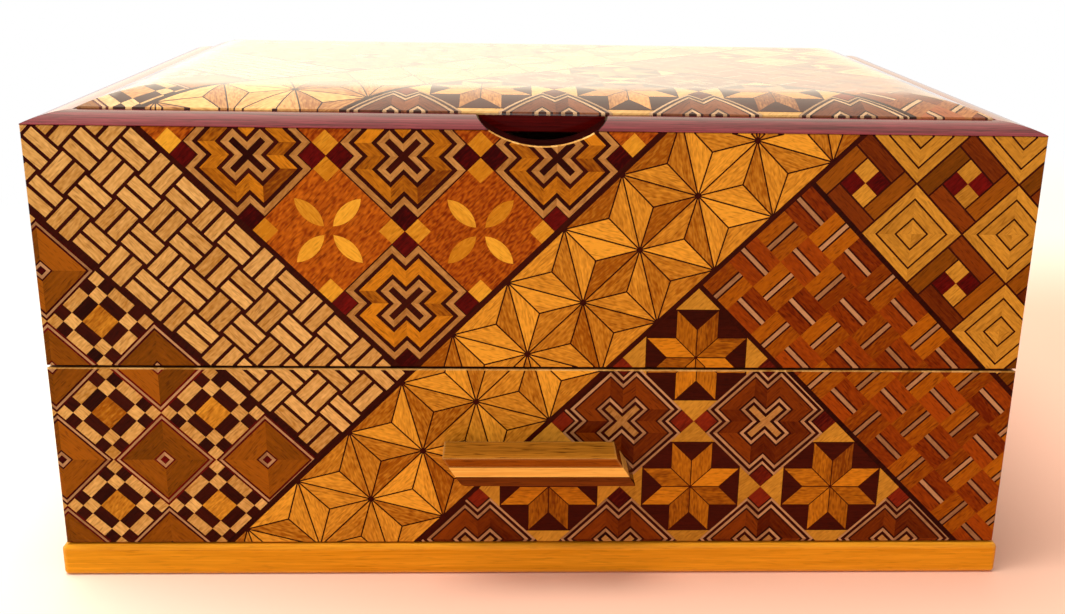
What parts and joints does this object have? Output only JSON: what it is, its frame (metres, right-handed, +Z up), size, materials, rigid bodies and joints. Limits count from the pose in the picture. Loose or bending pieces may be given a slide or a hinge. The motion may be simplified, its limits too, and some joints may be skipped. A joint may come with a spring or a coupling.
{
  "type": "wooden puzzle box",
  "caption": "Low rectangular box of inlaid woods with a hinged crowned lid, a finger notch, a full-width drawer with a bar handle and a hidden sliding key that locks the drawer.",
  "frame": {"origin": "middle of the base plate's underside", "axes": "+Z up, +X to the right along the long side, the drawer and the finger notch face -Y"},
  "size_m": [0.1838, 0.1307, 0.0926],
  "materials": {
    "marquetry": "clear lacquer over inlaid woods",
    "dark_red_wood": "clear lacquer",
    "honey_wood": "clear lacquer",
    "brown_wood": "clear lacquer",
    "light_wood": "satin",
    "dark_brown_wood": "clear lacquer",
    "pale_case_wood": "planed",
    "peg_wood": "planed",
    "brass_pin": "drawn rod"
  },
  "bodies": {
    "case": {"base_plate": "honey_wood", "left_wall": "pale_case_wood", "right_wall": "pale_case_wood", "back_wall": "pale_case_wood", "front_wall": "pale_case_wood", "middle_floor": "pale_case_wood", "rim_front": "dark_red_wood", "rim_back": "dark_red_wood", "rim_left": "dark_red_wood", "rim_right": "dark_red_wood", "hinge_pin_left": "brass_pin", "hinge_pin_right": "brass_pin", "front_veneer": "marquetry", "back_veneer": "marquetry", "left_veneer": "marquetry", "right_veneer": "marquetry", "lid_ledge_left": "pale_case_wood", "lid_ledge_right": "pale_case_wood"},
    "lid": {"lid_core": "pale_case_wood", "lid_edge_front": "dark_red_wood", "lid_edge_left": "dark_red_wood", "lid_edge_right": "dark_red_wood", "lid_hinge_rail": "dark_red_wood", "lid_veneer": "marquetry"},
    "drawer": {"drawer_front": "pale_case_wood", "drawer_side_left": "pale_case_wood", "drawer_side_right": "pale_case_wood", "drawer_back": "pale_case_wood", "drawer_bottom": "pale_case_wood", "drawer_veneer": "marquetry", "drawer_end_veneer_left": "marquetry", "drawer_end_veneer_right": "marquetry", "handle_top_layer": "brown_wood", "handle_middle_layer": "light_wood", "handle_bottom_layer": "dark_brown_wood", "handle_pegs": "peg_wood"},
    "key": {"key_strip": "light_wood", "key_tongue": "light_wood", "key_peg": "peg_wood"}
  },
  "joints": [
    {"name": "lid_hinge", "type": "hinge", "parent": "case", "child": "lid", "pos_m": [0, 0.0495, 0.088], "axis": [-1, 0, 0], "range_deg": [0, 100]},
    {"name": "drawer_slide", "type": "slide", "parent": "case", "child": "drawer", "axis": [0, -1, 0], "range_m": [0, 0.08]},
    {"name": "key_slide", "type": "slide", "parent": "case", "child": "key", "axis": [1, 0, 0], "range_m": [0, 0.01]}
  ]
}
